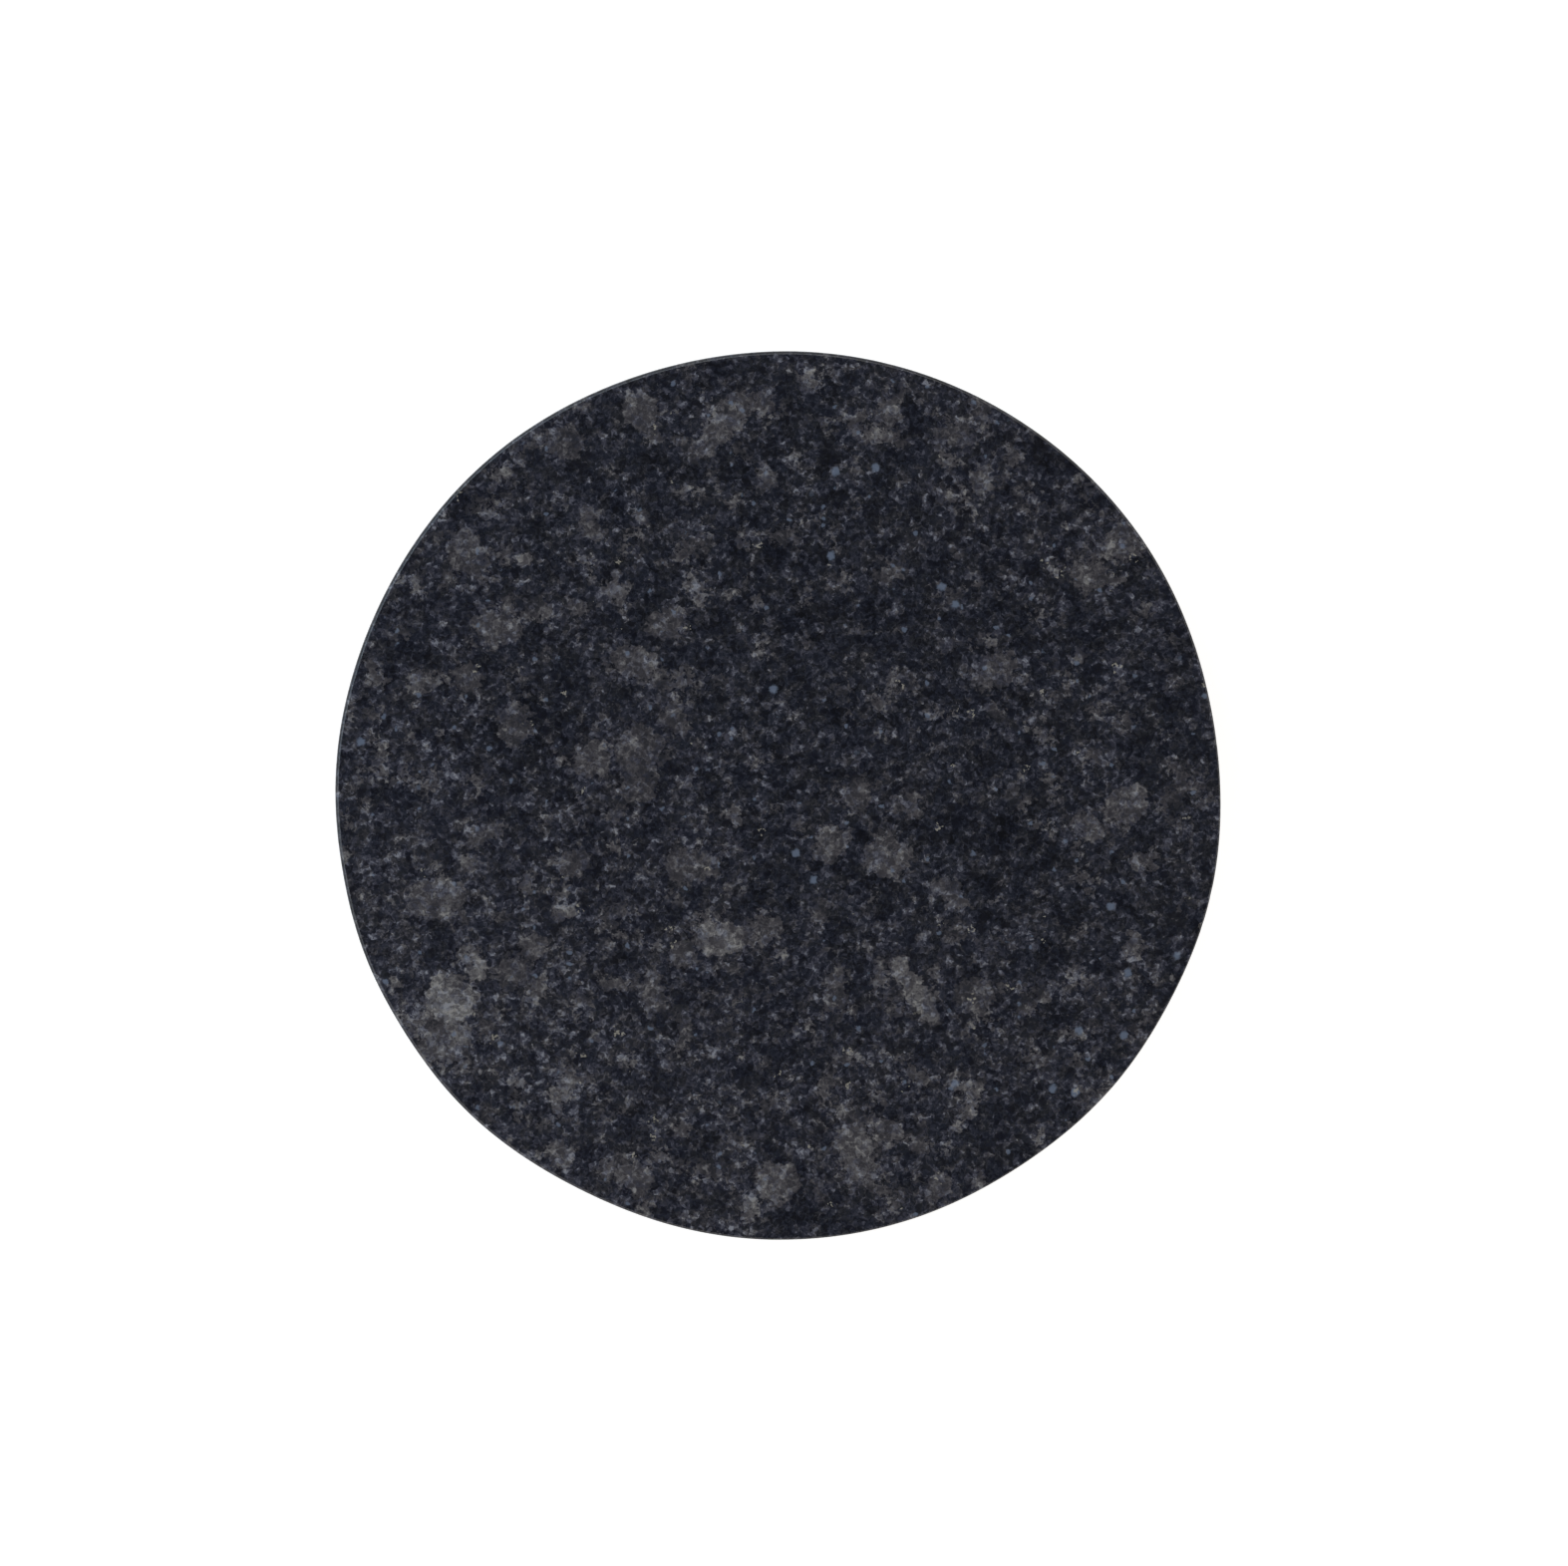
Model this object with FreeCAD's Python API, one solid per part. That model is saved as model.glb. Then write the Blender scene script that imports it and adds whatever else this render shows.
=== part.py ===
import FreeCAD, Part

import math
import os

# A round granite slab, the hard base that leather is stamped, punched and skived on.
# It is one stone: a disc sawn from sheet stock, ground round by hand, with its edges eased.
# Millimetres, +Z up. The origin is on the underside, at the middle of the slab's bounding box.

# Driving dimensions
ROUND_DIAMETER = 200.8
THICKNESS = 30.0
TOP_EDGE_RADIUS = 1.0
UNDERSIDE_EDGE_RADIUS = 1.5

# Shallow flats where the grinder took a little more off the round.
# Each is its bearing counterclockwise from +X, its half-width in degrees, and its depth.
GRINDER_FLATS = (
    (9.0, 19.0, 0.95),
    (107.0, 20.0, 0.65),
    (156.0, 20.0, 0.60),
    (190.0, 11.0, 0.45),
    (212.0, 9.0, 0.40),
    (244.0, 14.0, 0.75),
    (304.0, 13.0, 0.55),
    (332.0, 12.0, 0.65),
)

# The outline is interpolated through this many points of the formula below.
OUTLINE_POINTS = 72

# Faces closer than this to a height belong to it.
HEIGHT_TOLERANCE = 0.01


def flat_depth(bearing, flat):
    """How far one flat takes the round in at a bearing, in degrees."""
    middle, half_width, depth = flat
    away = (bearing - middle + 180.0) % 360.0 - 180.0
    return depth * math.exp(-((away / half_width) ** 2))


def outline_radius(bearing):
    """The slab's radius at a bearing: the round less every flat."""
    return ROUND_DIAMETER / 2.0 - sum(flat_depth(bearing, flat) for flat in GRINDER_FLATS)


def outline_points():
    """Points of the outline, moved so that their bounding box is centred on the origin."""
    points = []
    for step in range(OUTLINE_POINTS):
        bearing = 360.0 * step / OUTLINE_POINTS
        radius = outline_radius(bearing)
        angle = math.radians(bearing)
        points.append(FreeCAD.Vector(radius * math.cos(angle), radius * math.sin(angle), 0.0))
    middle_x = (min(p.x for p in points) + max(p.x for p in points)) / 2.0
    middle_y = (min(p.y for p in points) + max(p.y for p in points)) / 2.0
    middle = FreeCAD.Vector(middle_x, middle_y, 0.0)
    return [p - middle for p in points]


def blank():
    """The disc as ground, with sharp edges."""
    curve = Part.BSplineCurve()
    curve.interpolate(outline_points(), PeriodicFlag=True)
    face = Part.Face(Part.Wire(curve.toShape()))
    return face.extrude(FreeCAD.Vector(0.0, 0.0, THICKNESS))


def edges_at(shape, height):
    """The edges that lie flat at a height."""
    return [
        edge
        for edge in shape.Edges
        if abs(edge.BoundBox.ZMin - height) < HEIGHT_TOLERANCE
        and abs(edge.BoundBox.ZMax - height) < HEIGHT_TOLERANCE
    ]


def granite_slab():
    """The finished stone, with its top and bottom edges eased to a small round."""
    stone = blank()
    stone = stone.makeFillet(TOP_EDGE_RADIUS, edges_at(stone, THICKNESS))
    stone = stone.makeFillet(UNDERSIDE_EDGE_RADIUS, edges_at(stone, 0.0))
    return stone


def main():
    os.makedirs("parts", exist_ok=True)
    stone = granite_slab()
    stone.exportStep("parts/granite_slab.step")
    box = stone.BoundBox
    print("valid", stone.isValid(), "solids", len(stone.Solids), "volume mm3", round(stone.Volume))
    print("box mm", round(box.XLength, 2), round(box.YLength, 2), round(box.ZLength, 2))


main()
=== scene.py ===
import math
import random

import bmesh
import bpy
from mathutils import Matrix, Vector, noise


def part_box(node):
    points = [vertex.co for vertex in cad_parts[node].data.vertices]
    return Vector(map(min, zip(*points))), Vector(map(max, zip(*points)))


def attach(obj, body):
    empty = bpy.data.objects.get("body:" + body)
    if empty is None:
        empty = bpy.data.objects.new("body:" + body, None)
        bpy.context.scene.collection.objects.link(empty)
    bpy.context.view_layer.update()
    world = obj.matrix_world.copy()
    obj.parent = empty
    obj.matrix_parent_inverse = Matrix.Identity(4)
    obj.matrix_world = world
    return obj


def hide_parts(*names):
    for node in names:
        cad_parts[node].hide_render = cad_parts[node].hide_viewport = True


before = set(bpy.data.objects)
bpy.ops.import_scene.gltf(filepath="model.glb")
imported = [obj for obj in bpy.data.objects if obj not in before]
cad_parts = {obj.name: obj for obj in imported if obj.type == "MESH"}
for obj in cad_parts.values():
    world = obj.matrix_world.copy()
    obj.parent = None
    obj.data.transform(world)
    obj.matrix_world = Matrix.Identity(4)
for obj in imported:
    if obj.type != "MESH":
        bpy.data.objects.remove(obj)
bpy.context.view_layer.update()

# A round slab of dark granite on a pale floor, seen from straight above.
# Lengths are in metres, unless a name ends in _MM or the comment beside a value says mm.

MM = 0.001

LOW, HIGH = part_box("granite_slab")
TOP = HIGH.z
RADIUS = (HIGH.x - LOW.x) / 2


# ---------------------------------------------------------------- the slab's shape

SEGMENTS = 1440
TOP_EASE = 0.9 * MM
BOTTOM_EASE = 1.5 * MM
EASE_STEPS = 8
WALL_ROWS = 16
TOP_SPACING = 4.0 * MM
SAWN_SPACING = 1.0 * MM
CAP_HUB = 3.0 * MM

# Vertices belong to the CAD wall from this share of an ease below the top to as much above the underside.
WALL_END = 0.99

# The eased top edge was rubbed by hand: it is wider towards this bearing, and its width wanders by a
# noise that is read round a circle of the radius EASE_WANDER_REACH.
EASE_WIDE_BEARING = math.radians(140)
EASE_SPREAD = 0.5
EASE_WANDER = 0.12
EASE_WANDER_REACH = 4.0

# The chatter on the wall: its depth, the shares of it that are steady, broad and fine, and how long its
# broad and its fine waves are round the wall and up it.
WALL_WAVE = 0.05 * MM
WALL_SHARES = (0.5, 0.35, 0.15)
BROAD_CHATTER = (9 * MM, 22 * MM)
FINE_CHATTER = (2.5 * MM, 14 * MM)

# The saw marks on the underside: their depth, the shares of it that are steady, in arcs and in a wander,
# the size of the wander, and how many radians it moves the arcs by.
SAW_WAVE = 0.12 * MM
SAW_SHARES = (1.0, 0.6, 0.4)
SAW_BLADE_CENTRE = Vector((-0.42, 0.11, 0.0))
SAW_PITCH = 7.0 * MM
SAW_WANDER = 45 * MM
SAW_BEND = 2.0

# Nicks along the two edges: how many, the largest one's radius, the range of sizes as shares of it, how
# many times as long as wide they are, and how far out of the edge a middle lies as a share of the radius.
NICK_SEED = 11
NICK_SIZES = (0.5, 1.0)
NICK_STRETCHES = (0.9, 2.2)
TOP_NICKS = 14
TOP_NICK_RADIUS = 0.8 * MM
BOTTOM_NICKS = 46
BOTTOM_NICK_RADIUS = 1.6 * MM
NICK_OFFSET = 0.15


def outline_from_frame():
    """The CAD wall's bearings and radii, in order of bearing."""
    wall = []
    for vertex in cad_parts["granite_slab"].data.vertices:
        if BOTTOM_EASE * WALL_END < vertex.co.z < TOP - TOP_EASE * WALL_END:
            wall.append((math.atan2(vertex.co.y, vertex.co.x), vertex.co.xy.length))
    wall.sort()
    first, last = wall[0], wall[-1]
    turn = 2 * math.pi
    return [(last[0] - turn, last[1])] + wall + [(first[0] + turn, first[1])]


def outline_radii(wall):
    """The outline's radius at each of the mesh's evenly spaced bearings, from -180 to 180 degrees."""
    radii = []
    place = 0
    for step in range(SEGMENTS):
        bearing = -math.pi + 2 * math.pi * step / SEGMENTS
        while wall[place + 1][0] < bearing:
            place += 1
        (b0, r0), (b1, r1) = wall[place], wall[place + 1]
        share = 0.0 if b1 == b0 else (bearing - b0) / (b1 - b0)
        radii.append(r0 + (r1 - r0) * share)
    return radii


def top_ease(bearing):
    """Radius of the eased top edge at a bearing."""
    around = Vector((math.cos(bearing), math.sin(bearing), 0.0))
    lean = math.cos(bearing - EASE_WIDE_BEARING)
    wander = noise.noise(around * EASE_WANDER_REACH)
    return TOP_EASE * (1.0 + EASE_SPREAD * lean + EASE_WANDER * wander) / (1.0 + EASE_SPREAD)


def profile(ease):
    """Insets and heights from the rim of the top face, down the wall, to the rim of the underside."""
    points = []
    for step in range(EASE_STEPS + 1):
        angle = math.pi / 2 * step / EASE_STEPS
        points.append((ease * (1 - math.sin(angle)), TOP - ease * (1 - math.cos(angle))))
    for row in range(1, WALL_ROWS):
        share = (1 - math.cos(math.pi * row / WALL_ROWS)) / 2
        points.append((0.0, TOP - ease - (TOP - ease - BOTTOM_EASE) * share))
    for step in range(EASE_STEPS + 1):
        angle = math.pi / 2 * step / EASE_STEPS
        points.append((BOTTOM_EASE * (1 - math.cos(angle)), BOTTOM_EASE * (1 - math.sin(angle))))
    return points


def wall_wave(bearing, height):
    """How far the grinding wheel's chatter takes the wall in."""
    around = Vector((math.cos(bearing), math.sin(bearing), 0.0)) * RADIUS
    broad = noise.noise(around / BROAD_CHATTER[0] + Vector((0, 0, height / BROAD_CHATTER[1])))
    fine = noise.noise(around / FINE_CHATTER[0] + Vector((7.0, 0, height / FINE_CHATTER[1])))
    steady, broad_share, fine_share = WALL_SHARES
    return WALL_WAVE * (steady + broad_share * broad + fine_share * fine)


def saw_wave(x, y):
    """How far the underside's saw marks are sunk. They are arcs of a large blade."""
    place = Vector((x, y, 0.0))
    reach = (place - SAW_BLADE_CENTRE).length
    wander = noise.noise(place / SAW_WANDER)
    ridge = math.sin(2 * math.pi * reach / SAW_PITCH + SAW_BEND * wander)
    steady, arc_share, wander_share = SAW_SHARES
    return SAW_WAVE * (steady + arc_share * ridge + wander_share * wander)


def cut_nick(rings, radii, edge_height, upward, radius):
    """Takes one small scoop, mostly longer along the edge than across it, out of the rings of points."""
    bearing = random.uniform(-math.pi, math.pi)
    size = radius * random.uniform(*NICK_SIZES)
    stretch = random.uniform(*NICK_STRETCHES)
    step = int((bearing + math.pi) / (2 * math.pi) * SEGMENTS) % SEGMENTS
    outward = Vector((math.cos(bearing), math.sin(bearing), 0.0))
    along = Vector((-outward.y, outward.x, 0.0))
    out_of_edge = (outward + Vector((0.0, 0.0, upward))) * NICK_OFFSET * size
    centre = outward * radii[step] + Vector((0.0, 0.0, edge_height)) + out_of_edge
    span = int(stretch * size / (RADIUS * 2 * math.pi / SEGMENTS)) + 2
    for ring in rings:
        for near in range(step - span, step + span + 1):
            away = ring[near % SEGMENTS] - centre
            squeezed = away - along * away.dot(along) * (1 - 1 / stretch)
            if 0 < squeezed.length < size:
                ring[near % SEGMENTS] = centre + away * (size / squeezed.length)


def side_rings(radii):
    """Rings of points from the rim of the top face to the rim of the underside."""
    rings = [[] for _ in range(2 * EASE_STEPS + WALL_ROWS + 1)]
    for step, radius in enumerate(radii):
        bearing = -math.pi + 2 * math.pi * step / SEGMENTS
        for ring, (inset, height) in zip(rings, profile(top_ease(bearing))):
            reach = radius - inset - wall_wave(bearing, height)
            ring.append(Vector((reach * math.cos(bearing), reach * math.sin(bearing), height)))
    random.seed(NICK_SEED)
    for _ in range(TOP_NICKS):
        cut_nick(rings, radii, TOP, 1.0, TOP_NICK_RADIUS)
    for _ in range(BOTTOM_NICKS):
        cut_nick(rings, radii, 0.0, -1.0, BOTTOM_NICK_RADIUS)
    return rings


def join_rings(mesh, outer, inner, slot, smooth):
    """Faces between two rings of vertices. The inner ring has as many, or half as many."""
    half = len(outer) != len(inner)
    for step in range(len(inner)):
        following = (step + 1) % len(inner)
        if half:
            ahead = (2 * step + 2) % len(outer)
            corner = outer[2 * step + 1]
            faces = (
                (outer[2 * step], corner, inner[step]),
                (corner, inner[following], inner[step]),
                (corner, outer[ahead], inner[following]),
            )
        else:
            faces = ((outer[step], outer[following], inner[following], inner[step]),)
        for corners in faces:
            face = mesh.faces.new(corners)
            face.material_index = slot
            face.smooth = smooth


def cap(mesh, rim, height_at, spacing, slot, smooth):
    """Closes a rim with rings that halve their vertices as they near the centre."""
    ring = rim
    places = [vertex.co.xy.copy() for vertex in rim]
    reach = 1.0
    while reach * RADIUS > CAP_HUB:
        gap = 2 * math.pi * RADIUS * reach / len(ring)
        reach -= gap / RADIUS
        if gap < spacing and len(ring) % 2 == 0:
            places = places[::2]
        inner = []
        for place in places:
            x, y = place * reach
            inner.append(mesh.verts.new((x, y, height_at(x, y))))
        join_rings(mesh, ring, inner, slot, smooth)
        ring = inner
    middle = mesh.verts.new((0.0, 0.0, height_at(0.0, 0.0)))
    for step in range(len(ring)):
        face = mesh.faces.new((ring[step], ring[(step + 1) % len(ring)], middle))
        face.material_index = slot
        face.smooth = smooth


def slab_mesh():
    """The whole stone as one closed mesh: face slots 0 polished top, 1 ground side, 2 sawn underside."""
    mesh = bmesh.new()
    rings = []
    for points in side_rings(outline_radii(outline_from_frame())):
        rings.append([mesh.verts.new(point) for point in points])
    for upper, lower in zip(rings, rings[1:]):
        join_rings(mesh, upper, lower, 1, True)
    cap(mesh, rings[0], lambda x, y: TOP, TOP_SPACING, 0, False)
    cap(mesh, rings[-1], saw_wave, SAWN_SPACING, 2, True)
    bmesh.ops.recalc_face_normals(mesh, faces=mesh.faces)
    data = bpy.data.meshes.new("granite_slab_stone")
    mesh.to_mesh(data)
    mesh.free()
    return data


# ---------------------------------------------------------------- shader node helpers


def feed(tree, socket, value):
    """Sets a socket, or links another node's output to it."""
    if isinstance(value, bpy.types.NodeSocket):
        tree.links.new(value, socket)
    else:
        socket.default_value = value


def add_node(tree, kind, inputs, **settings):
    """A shader node with its settings and its inputs, which are values or other nodes' outputs."""
    made = tree.nodes.new("ShaderNode" + kind)
    for name, value in settings.items():
        setattr(made, name, value)
    for name, value in inputs.items():
        feed(tree, made.inputs[name], value)
    return made


def calc(tree, operation, *values):
    """The result of one Math node."""
    return add_node(tree, "Math", dict(enumerate(values)), operation=operation).outputs[0]


def shift(tree, operation, *values):
    """The result of one Vector Math node."""
    return add_node(tree, "VectorMath", dict(enumerate(values)), operation=operation).outputs[0]


def remap(tree, value, low, high, to_low=0.0, to_high=1.0, smooth=True):
    """value carried from low..high to to_low..to_high, held at both ends.

    A smooth step holds its ends by itself, so it needs no clamp.
    """
    made = add_node(
        tree,
        "MapRange",
        {"Value": value, "From Min": low, "From Max": high, "To Min": to_low, "To Max": to_high},
        interpolation_type="SMOOTHSTEP" if smooth else "LINEAR",
        clamp=not smooth,
    )
    return made.outputs["Result"]


def cloud(tree, place, size, detail=2.0, roughness=0.6):
    """Soft noise with features about size millimetres across."""
    return add_node(
        tree,
        "TexNoise",
        {"Vector": place, "Scale": 1.0 / size, "Detail": detail, "Roughness": roughness},
    )


def cells(tree, place, size):
    """Crystal cells about size millimetres across."""
    return add_node(tree, "TexVoronoi", {"Vector": place, "Scale": 1.0 / size}, feature="F1")


def red_of(tree, colour):
    """One random number from a cell's random colour."""
    return add_node(tree, "SeparateColor", {"Color": colour}).outputs["Red"]


def srgb(red, green, blue):
    """Linear colour from 0-255 screen values."""
    linear = []
    for value in (red, green, blue):
        share = value / 255
        linear.append(share / 12.92 if share <= 0.04045 else ((share + 0.055) / 1.055) ** 2.4)
    return (*linear, 1.0)


# ---------------------------------------------------------------- the granite

# Feldspar crystals in the top face, picked out one by one in three degrees of paleness: x, y, half length
# and half width in mm, and the bearing of the length in degrees.
PALE_CRYSTALS = (
    (-74, -46, 5.8, 5.2, 100),
    (-68, -40, 2.4, 2.0, 0),
    (-13, -32, 5.6, 3.4, 5),
    (31, -44, 8.6, 2.5, 123),
    (-29, 30, 2.0, 1.3, 60),
    (-57, 53, 2.0, 1.6, 0),
)
MIDDLING_CRYSTALS = (
    (80, -34, 3.8, 2.4, 60),
    (25, -76, 3.4, 3.0, 0),
    (0, -87, 5.4, 4.6, 140),
    (-55, -34, 3.6, 3.0, 40),
    (-76, -56, 5.6, 4.2, 10),
    (-77, -23, 6.6, 3.8, 15),
    (-4, -31, 5.0, 3.2, 10),
    (-32, -86, 4.6, 3.8, 150),
    (18, -81, 7.6, 4.2, 105),
    (25, -14, 5.0, 4.8, 20),
    (39, -22, 5.2, 2.6, 145),
    (12, -11, 4.2, 3.6, 40),
    (79, -2, 5.2, 4.4, 20),
    (70, -7, 4.4, 2.4, 115),
    (-33, 30, 4.4, 3.8, 150),
    (-59, 16, 3.8, 4.2, 0),
    (-63, 38, 5.6, 4.2, 165),
    (-31, 87, 4.8, 3.6, 160),
    (-12, 84, 8.4, 3.6, 58),
    (25, 86, 3.8, 3.4, 90),
    (18, 84, 2.4, 2.2, 0),
    (46, 71, 3.6, 3.2, 90),
    (78, 57, 4.4, 4.0, 50),
)
FAINT_CRYSTALS = (
    (-66, -9, 5.2, 2.0, 35),
    (-60, -40, 4.2, 3.6, 60),
    (-46, -15, 3.6, 3.2, 0),
    (-20, -16, 5.8, 3.8, 170),
    (-21, -36, 3.4, 3.0, 60),
    (-28, -44, 3.8, 3.2, 90),
    (36, -88, 4.0, 3.0, 30),
    (44, -45, 4.6, 3.8, 10),
    (13, -44, 5.2, 2.6, 80),
    (18, 0, 3.8, 3.2, 30),
    (-31, 10, 6.0, 5.4, 40),
    (-42, 8, 4.4, 4.0, 0),
    (-31, 2, 4.4, 3.6, 20),
    (-23, 17, 3.6, 3.0, 140),
    (-25, 39, 4.8, 3.4, 10),
    (-70, 26, 3.4, 3.0, 0),
    (-70, 55, 5.4, 4.4, 120),
    (-48, 80, 4.6, 3.6, 0),
    (-42, 61, 3.6, 2.8, 125),
    (-3, 89, 3.2, 2.2, 10),
    (40, 81, 5.4, 2.4, 5),
    (70, 50, 4.2, 3.8, 20),
    (49, 28, 5.4, 4.2, 30),
    (25, 50, 3.0, 2.4, 0),
    (2, 58, 3.0, 2.4, 0),
)
CRYSTAL_GROUPS = (
    (PALE_CRYSTALS, 0.92),
    (MIDDLING_CRYSTALS, 0.65),
    (FAINT_CRYSTALS, 0.50),
)

# Blue flecks in the top face, picked out one by one: x and y in mm.
FLECKS = (
    (-94, 12),
    (22, 74),
    (13, 73),
    (37, 47),
    (40, 43),
    (12, 54),
    (-1, 24),
    (4, -13),
    (8, -19),
    (75, -25),
    (79, -40),
    (90, -36),
    (68, -53),
    (78, -54),
    (62, -66),
    (67, -67),
    (40, -65),
)
FLECK_RADIUS_MM = 0.85

# Broad paler and darker areas of the top face: x, y and radius in mm, and how much paler.
AREAS = (
    (-82, -52, 48, 0.07),
    (-90, 5, 30, 0.03),
    (0, -95, 50, 0.05),
    (32, 92, 22, 0.06),
    (78, -55, 34, 0.03),
    (90, 15, 26, 0.03),
    (14, 60, 34, -0.04),
    (44, -8, 24, -0.04),
    (-60, 12, 14, -0.05),
)

# The minerals' colours by tone, as 0-255 screen values.
TONE_COLOURS = (
    (0.05, (19, 20, 24)),
    (0.22, (25, 26, 32)),
    (0.37, (32, 34, 40)),
    (0.49, (40, 41, 47)),
    (0.62, (52, 52, 58)),
    (0.72, (64, 64, 70)),
    (0.88, (89, 90, 95)),
    (1.00, (114, 115, 118)),
)
# They are colours as seen through the stone's gloss, which lays a faint veil over them. The veil is taken
# off, and they are a little paler for it.
COLOUR_GAIN = 1.09
GLOSS_VEIL = 0.002
GROUND_TONE = 0.41
MICA_TONE = 0.25

MICA_GRAIN = 0.40
MICA_COVER = 0.8

# A clot's tone: its base, how much of the ground's grain shows in it, and the rise of the palest. It
# covers the ground as its level goes from the first of CLOT_EDGE to the second.
CLOT_TONE = 0.48
CLOT_GRAIN = 0.55
CLOT_RISE = 0.36
CLOT_EDGE = (0.05, 0.45)
CLOT_COVER = 0.9

# A placed crystal's border, as shares of its size. Scattered clots lie where a noise of some size in mm
# rises through a border, and each kind has a level of paleness, or a range of it.
CRYSTAL_BORDER = (1.15, 0.95)
LARGE_CLOT_MM = 13.0
LARGE_CLOT_BORDER = (0.58, 0.68)
LARGE_CLOT_LEVEL = 0.7
SMALL_CLOT_MM = 5.5
SMALL_CLOT_BORDER = (0.62, 0.64)
SMALL_CLOT_LEVELS = (0.30, 0.75)

# Large clots are scattered in full below the first of these depths, and hardly above the second, where
# the placed crystals are.
SCATTER_DEPTHS_MM = (4.0, 1.0)
SCATTER_NEAR_TOP = 0.15

# Small spots: spacing in mm, the share of the cells that hold one, and its radius as a share of the spacing.
MICA_SPOTS = (6.0, 0.34, 0.36)
BLUE_SPOTS = (2.6, 0.12, 0.2)
CREAM_SPOTS = (4.0, 0.06, 0.16)
BLUE_SPOT_LEVEL = 0.8
BLUE_COVER = 0.75
CREAM_COVER = 0.6

# The two noises that roughen the minerals' borders.
BROAD_NOISE_MM = 5.0
CLOSE_NOISE_MM = 1.3

# The span in mm over which noise pushes a place, to roughen the borders of the minerals that are read
# from it. In a pair the first is for the broad noise and the second for the close one.
BENT_MM = 1.6
RAGGED_MM = (17.0, 4.5)
FRAYED_MM = (5.0, 4.5)
CRISP_MM = (4.5, 2.2)
JAGGED_MM = 5.0

STONE_IOR = 1.54
BEYOND_ALL = 1000.0
WARM_TINT = (1.06, 1.005, 0.92, 1.0)
COOL_TINT = (0.95, 0.97, 1.07, 1.0)
FLECK_BLUE = srgb(92, 102, 120)
SPECK_CREAM = srgb(150, 146, 136)


def reach_from(tree, place, x, y):
    """Distance in mm from a point of the top face."""
    made = add_node(tree, "VectorMath", {0: place, 1: (x, y, TOP / MM)}, operation="DISTANCE")
    return made.outputs["Value"]


def reach_in_crystal(tree, place, x, y, half_length, half_width, bearing):
    """Distance from a crystal's middle as a share of its size: 1 on its border."""
    settings = {
        "Vector": place,
        "Location": (x, y, TOP / MM),
        "Rotation": (0.0, 0.0, math.radians(bearing)),
        "Scale": (half_length, half_width, half_width),
    }
    local = add_node(tree, "Mapping", settings, vector_type="TEXTURE").outputs[0]
    return add_node(tree, "VectorMath", {0: local}, operation="LENGTH").outputs["Value"]


def nearest(tree, reaches):
    """The smallest of several distances. Each is made and joined in turn, so that few wait at once."""
    least = BEYOND_ALL
    for reach in reaches:
        least = calc(tree, "MINIMUM", least, reach)
    return least


def clot_level(tree, place, ragged, frayed, crisp, jagged, deep, areas):
    """How much each point belongs to a pale clot.

    The large ones are placed one by one on the top and are scattered below it; small ones are scattered
    all through the stone. The palest have the crispest borders.
    """
    placed = 0.0
    for (crystals, level), border in zip(CRYSTAL_GROUPS, (crisp, frayed, frayed)):
        reach = nearest(tree, (reach_in_crystal(tree, border, *crystal) for crystal in crystals))
        placed = calc(tree, "MAXIMUM", placed, remap(tree, reach, *CRYSTAL_BORDER, 0.0, level))
    large = cloud(tree, ragged, LARGE_CLOT_MM, 1.0).outputs["Fac"]
    large = remap(tree, large, *LARGE_CLOT_BORDER, 0.0, LARGE_CLOT_LEVEL)
    large = calc(tree, "MULTIPLY", large, deep)
    paleness = cloud(tree, place, 7.0, 0.0).outputs["Fac"]
    paleness = remap(tree, paleness, 0.35, 0.65, *SMALL_CLOT_LEVELS)
    small = cloud(tree, jagged, SMALL_CLOT_MM, 1.0, 0.45).outputs["Fac"]
    small = remap(tree, calc(tree, "MULTIPLY_ADD", areas, 0.4, small), *SMALL_CLOT_BORDER)
    small = calc(tree, "MULTIPLY", small, paleness)
    return calc(tree, "MAXIMUM", placed, calc(tree, "MAXIMUM", large, small))


def area_level(tree, place):
    """The sum of the broad areas' levels."""
    total = 0.0
    for x, y, radius, level in AREAS:
        area = remap(tree, reach_from(tree, place, x, y), 1.9 * radius, 0.1 * radius, 0.0, level)
        total = calc(tree, "ADD", total, area)
    return total


def spots(tree, place, spacing, share, radius):
    """Small spots in a share of the cells of a spacing; radius is a share of the spacing."""
    found = cells(tree, place, spacing)
    chance = red_of(tree, found.outputs["Color"])
    chosen = remap(tree, chance, 1.0 - share, 1.0 - 0.8 * share)
    near = remap(tree, found.outputs["Distance"], radius * 1.25, radius * 0.75)
    return calc(tree, "MULTIPLY", near, chosen)


def mixed(tree, share, first, second):
    """A number between two others, by a share."""
    return add_node(tree, "Mix", {0: share, 2: first, 3: second}, data_type="FLOAT").outputs[0]


def blend(tree, share, first, second, kind="MIX"):
    """The second colour over the first, by a share."""
    return add_node(
        tree, "Mix", {0: share, 6: first, 7: second}, data_type="RGBA", blend_type=kind
    ).outputs[2]


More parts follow.
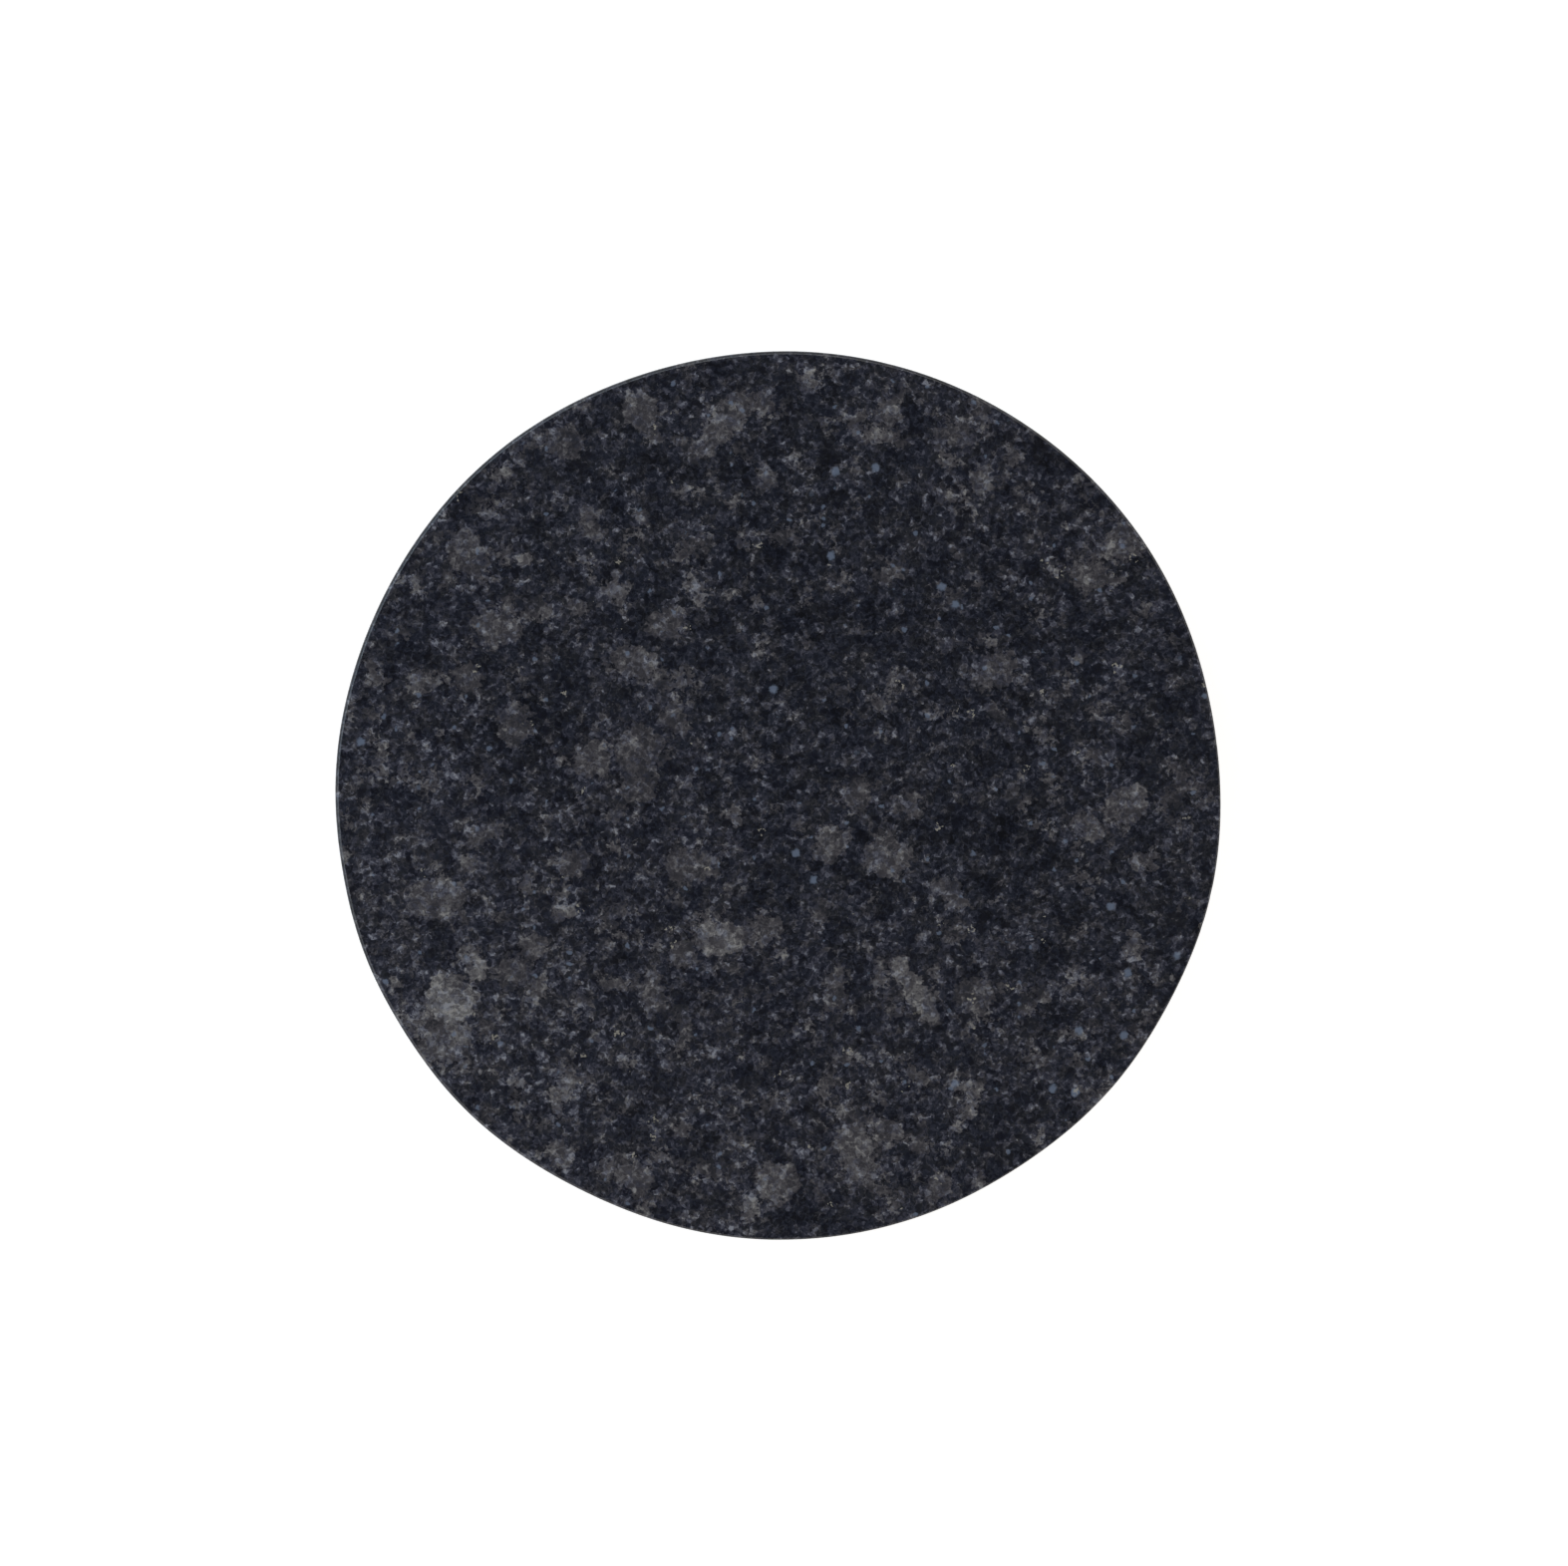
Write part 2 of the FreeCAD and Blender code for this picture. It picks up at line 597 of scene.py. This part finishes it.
def ground_tone(tree, place, bent, ragged, areas):
    """The fine-grained ground's tone, and the random tone of its smallest grains."""
    threads = cloud(tree, bent, 1.9, 2.0, 0.55).outputs["Fac"]
    threads = calc(tree, "ABSOLUTE", calc(tree, "SUBTRACT", threads, 0.5))
    grain = red_of(tree, cells(tree, bent, 0.8).outputs["Color"])
    coarse = red_of(tree, cells(tree, bent, 2.6).outputs["Color"])
    middling = red_of(tree, cells(tree, bent, 1.4).outputs["Color"])
    # Each layer, the value at which it leaves the tone alone, and its weight.
    layers = (
        (cloud(tree, ragged, 11.0).outputs["Fac"], 0.5, 0.30),
        (cloud(tree, bent, 4.0).outputs["Fac"], 0.5, 0.45),
        (remap(tree, coarse, 0.0, 0.7), 0.6, 0.17),
        (remap(tree, middling, 0.55, 1.0), 0.2, 0.26),
        (remap(tree, threads, 0.08, 0.0), 0.3, 0.22),
        (remap(tree, grain, 0.5, 1.0), 0.25, 0.24),
        (cloud(tree, place, 0.45, 1.0).outputs["Fac"], 0.5, 0.20),
    )
    tone = GROUND_TONE
    for layer, middle, weight in layers:
        tone = calc(tree, "MULTIPLY_ADD", calc(tree, "SUBTRACT", layer, middle), weight, tone)
    tone = calc(tree, "ADD", tone, areas)
    mica = spots(tree, ragged, *MICA_SPOTS)
    even = calc(tree, "SUBTRACT", tone, GROUND_TONE)
    even = calc(tree, "MULTIPLY_ADD", even, MICA_GRAIN, MICA_TONE)
    tone = mixed(tree, calc(tree, "MULTIPLY", mica, MICA_COVER), tone, even)
    return tone, grain


def place_in_stone(tree):
    """The place in the solid, in mm. The minerals are read from it, so they run over the edges."""
    solid = add_node(tree, "TexCoord", {}).outputs["Object"]
    return add_node(tree, "VectorMath", {0: solid, "Scale": 1 / MM}, operation="SCALE").outputs[0]


def push_noise(tree, place, size):
    """Noise that pushes along each axis, about as much one way as the other."""
    return shift(tree, "SUBTRACT", cloud(tree, place, size).outputs["Color"], (0.5, 0.5, 0.5))


def pushed(tree, place, push, span):
    """A place moved by noise, within about half a span each way."""
    return shift(tree, "MULTIPLY_ADD", push, (span, span, span), place)


def granite(tree, place):
    """The stone's colour, and its tone from 0 dark to 1 pale."""
    height = add_node(tree, "SeparateXYZ", {0: place}).outputs["Z"]
    low, high = (TOP / MM - depth for depth in SCATTER_DEPTHS_MM)
    deep = remap(tree, height, low, high, 1.0, SCATTER_NEAR_TOP)

    broad = push_noise(tree, place, BROAD_NOISE_MM)
    close = push_noise(tree, place, CLOSE_NOISE_MM)
    bent = pushed(tree, place, close, BENT_MM)
    ragged = pushed(tree, pushed(tree, bent, broad, RAGGED_MM[0]), close, RAGGED_MM[1])
    frayed = pushed(tree, pushed(tree, bent, broad, FRAYED_MM[0]), close, FRAYED_MM[1])
    crisp = pushed(tree, pushed(tree, bent, broad, CRISP_MM[0]), close, CRISP_MM[1])
    jagged = pushed(tree, bent, close, JAGGED_MM)

    areas = area_level(tree, place)
    tone, grain = ground_tone(tree, place, bent, ragged, areas)
    feldspar = clot_level(tree, place, ragged, frayed, crisp, jagged, deep, areas)
    clot_tone = calc(tree, "SUBTRACT", tone, GROUND_TONE)
    clot_tone = calc(tree, "MULTIPLY_ADD", clot_tone, CLOT_GRAIN, CLOT_TONE)
    clot_tone = calc(tree, "MULTIPLY_ADD", feldspar, CLOT_RISE, clot_tone)
    share = remap(tree, feldspar, *CLOT_EDGE, 0.0, CLOT_COVER)
    tone = mixed(tree, share, tone, clot_tone)

    colour = toned_colour(tree, tone)
    hue = cloud(tree, bent, 2.6).outputs["Fac"]
    hue = calc(tree, "MULTIPLY_ADD", grain, 0.25, hue)
    hue = calc(tree, "MULTIPLY_ADD", share, -0.15, hue)
    warmth = remap(tree, hue, 0.42, 0.78)
    tint = blend(tree, warmth, WARM_TINT, COOL_TINT)
    colour = blend(tree, 1.0, colour, tint, "MULTIPLY")

    placed = nearest(tree, (reach_from(tree, bent, x, y) for x, y in FLECKS))
    placed = remap(tree, placed, 1.4 * FLECK_RADIUS_MM, 0.6 * FLECK_RADIUS_MM)
    wild = calc(tree, "MULTIPLY", spots(tree, bent, *BLUE_SPOTS), BLUE_SPOT_LEVEL)
    blue = calc(tree, "MULTIPLY", calc(tree, "MAXIMUM", wild, placed), BLUE_COVER)
    colour = blend(tree, blue, colour, FLECK_BLUE)
    cream = calc(tree, "MULTIPLY", spots(tree, jagged, *CREAM_SPOTS), CREAM_COVER)
    colour = blend(tree, cream, colour, SPECK_CREAM)
    return colour, tone


def toned_colour(tree, tone):
    """The mineral colour for a tone, from near-black mica to pale feldspar."""
    ramp = add_node(tree, "ValToRGB", {"Fac": tone})
    elements = ramp.color_ramp.elements
    while len(elements) < len(TONE_COLOURS):
        elements.new(0.5)
    for element, (position, colour) in zip(elements, TONE_COLOURS):
        red, green, blue, _ = srgb(*colour)
        bare = [part * COLOUR_GAIN - GLOSS_VEIL for part in (red, green, blue)]
        element.position = position
        element.color = (*bare, 1.0)
    return ramp.outputs["Color"]


def finish_stone(name, roughness_range, grit_mm, grit_depth_mm):
    """A granite material: its roughness follows the minerals, and its surface has a fine grit."""
    material = bpy.data.materials.new(name)
    material.use_nodes = True
    tree = material.node_tree
    tree.nodes.clear()
    place = place_in_stone(tree)
    colour, tone = granite(tree, place)
    smooth_end, rough_end = roughness_range
    roughness = remap(tree, tone, 0.2, 0.8, rough_end, smooth_end, smooth=False)
    grit = cloud(tree, place, grit_mm, 3.0, 0.65).outputs["Fac"]
    bump = add_node(tree, "Bump", {"Height": grit, "Distance": grit_depth_mm * MM})
    shader = add_node(
        tree,
        "BsdfPrincipled",
        {"Base Color": colour, "Roughness": roughness, "Normal": bump.outputs[0], "IOR": STONE_IOR},
    )
    add_node(tree, "OutputMaterial", {"Surface": shader.outputs[0]})
    return material


# ---------------------------------------------------------------- the slab

# Each finish: its roughness on the palest and the darkest minerals, and its grit's size and depth in mm.
POLISHED = ((0.07, 0.10), 0.6, 0.0015)
GROUND = ((0.36, 0.46), 0.5, 0.04)
SAWN = ((0.62, 0.75), 0.9, 0.16)

stone = bpy.data.objects.new("granite_slab_stone", slab_mesh())
bpy.context.scene.collection.objects.link(stone)
stone.data.materials.append(finish_stone("granite_polished", *POLISHED))
stone.data.materials.append(finish_stone("granite_ground", *GROUND))
stone.data.materials.append(finish_stone("granite_sawn", *SAWN))
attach(stone, "root")
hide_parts("granite_slab")


# ---------------------------------------------------------------- floor, lights and camera

FLOOR_SIZE = 8.0
FLOOR_GREY = 0.35
FLOOR_ROUGHNESS = 0.9
FLOOR_NEAR = 0.4
FLOOR_FAR = 2.4
FLOOR_GLOW_NEAR = 0.82
FLOOR_GLOW_FAR = 1.0
CAMERA_LENS = 85.0
SENSOR = 36.0
FRAME_WIDTH = 0.3534
CAMERA_SHIFT = Vector((0.0014, 0.0028, 0.0))

# Soft boxes round the slab: bearing and elevation in degrees, power in watts, colour.
SOFT_BOXES = (
    (150, 56, 9.0, (0.66, 0.83, 1.0)),
    (235, 60, 5.0, (1.0, 0.94, 0.86)),
    (325, 62, 4.5, (1.0, 0.93, 0.83)),
    (55, 62, 4.5, (1.0, 0.93, 0.83)),
)
BOX_DISTANCE = 1.3
BOX_WIDTH = 1.1
BOX_HEIGHT = 0.4

# The surroundings' brightness by the height of the view above the horizon: 0 level, 1 straight up.
WORLD_STOPS = ((0.0, 1.00), (0.12, 0.55), (0.26, 0.16), (0.40, 0.06), (0.70, 0.005))


def make_floor():
    """A plain white surface that glows, as a light table does, and meets the pale horizon unseen."""
    mesh = bmesh.new()
    bmesh.ops.create_grid(mesh, x_segments=4, y_segments=4, size=FLOOR_SIZE / 2)
    data = bpy.data.meshes.new("floor")
    mesh.to_mesh(data)
    mesh.free()
    floor = bpy.data.objects.new("floor", data)
    bpy.context.scene.collection.objects.link(floor)
    material = bpy.data.materials.new("floor_white")
    material.use_nodes = True
    tree = material.node_tree
    place = add_node(tree, "TexCoord", {}).outputs["Object"]
    reach = add_node(tree, "VectorMath", {0: place}, operation="LENGTH").outputs["Value"]
    shader = tree.nodes["Principled BSDF"]
    shader.inputs["Base Color"].default_value = (FLOOR_GREY, FLOOR_GREY, FLOOR_GREY, 1.0)
    shader.inputs["Roughness"].default_value = FLOOR_ROUGHNESS
    shader.inputs["Emission Color"].default_value = (1.0, 1.0, 1.0, 1.0)
    glow = remap(tree, reach, FLOOR_NEAR, FLOOR_FAR, FLOOR_GLOW_NEAR, FLOOR_GLOW_FAR)
    feed(tree, shader.inputs["Emission Strength"], glow)
    data.materials.append(material)


def make_soft_box(bearing, elevation, power, colour):
    """One wide soft light that faces the slab."""
    bearing, elevation = math.radians(bearing), math.radians(elevation)
    light = bpy.data.lights.new("soft_box", "AREA")
    light.shape = "RECTANGLE"
    light.size = BOX_WIDTH
    light.size_y = BOX_HEIGHT
    light.energy = power
    light.color = colour
    lamp = bpy.data.objects.new("soft_box", light)
    bpy.context.scene.collection.objects.link(lamp)
    direction = Vector(
        (
            math.cos(elevation) * math.cos(bearing),
            math.cos(elevation) * math.sin(bearing),
            math.sin(elevation),
        )
    )
    lamp.location = direction * BOX_DISTANCE
    lamp.rotation_euler = direction.to_track_quat("Z", "Y").to_euler()


def make_world():
    """A pale horizon that darkens towards the ceiling, so that the polished top stays deep."""
    world = bpy.data.worlds.new("studio")
    bpy.context.scene.world = world
    world.use_nodes = True
    tree = world.node_tree
    tree.nodes.clear()
    direction = add_node(tree, "TexCoord", {}).outputs["Generated"]
    rise = add_node(tree, "SeparateXYZ", {0: direction}).outputs["Z"]
    ramp = add_node(tree, "ValToRGB", {"Fac": rise})
    elements = ramp.color_ramp.elements
    while len(elements) < len(WORLD_STOPS):
        elements.new(0.5)
    for element, (position, level) in zip(elements, WORLD_STOPS):
        element.position = position
        element.color = (level, level, level, 1.0)
    back = add_node(tree, "Background", {"Color": ramp.outputs["Color"], "Strength": 1.0})
    add_node(tree, "OutputWorld", {"Surface": back.outputs[0]})


def make_camera():
    """A camera straight above the slab, looking down, a little off its middle."""
    camera = bpy.data.cameras.new("camera")
    camera.lens = CAMERA_LENS
    camera.sensor_width = SENSOR
    holder = bpy.data.objects.new("camera", camera)
    bpy.context.scene.collection.objects.link(holder)
    distance = FRAME_WIDTH * CAMERA_LENS / SENSOR
    holder.location = CAMERA_SHIFT + Vector((0.0, 0.0, TOP + distance))
    bpy.context.scene.camera = holder


make_floor()
for soft_box in SOFT_BOXES:
    make_soft_box(*soft_box)
make_world()
make_camera()
bpy.context.scene.view_settings.view_transform = "Standard"
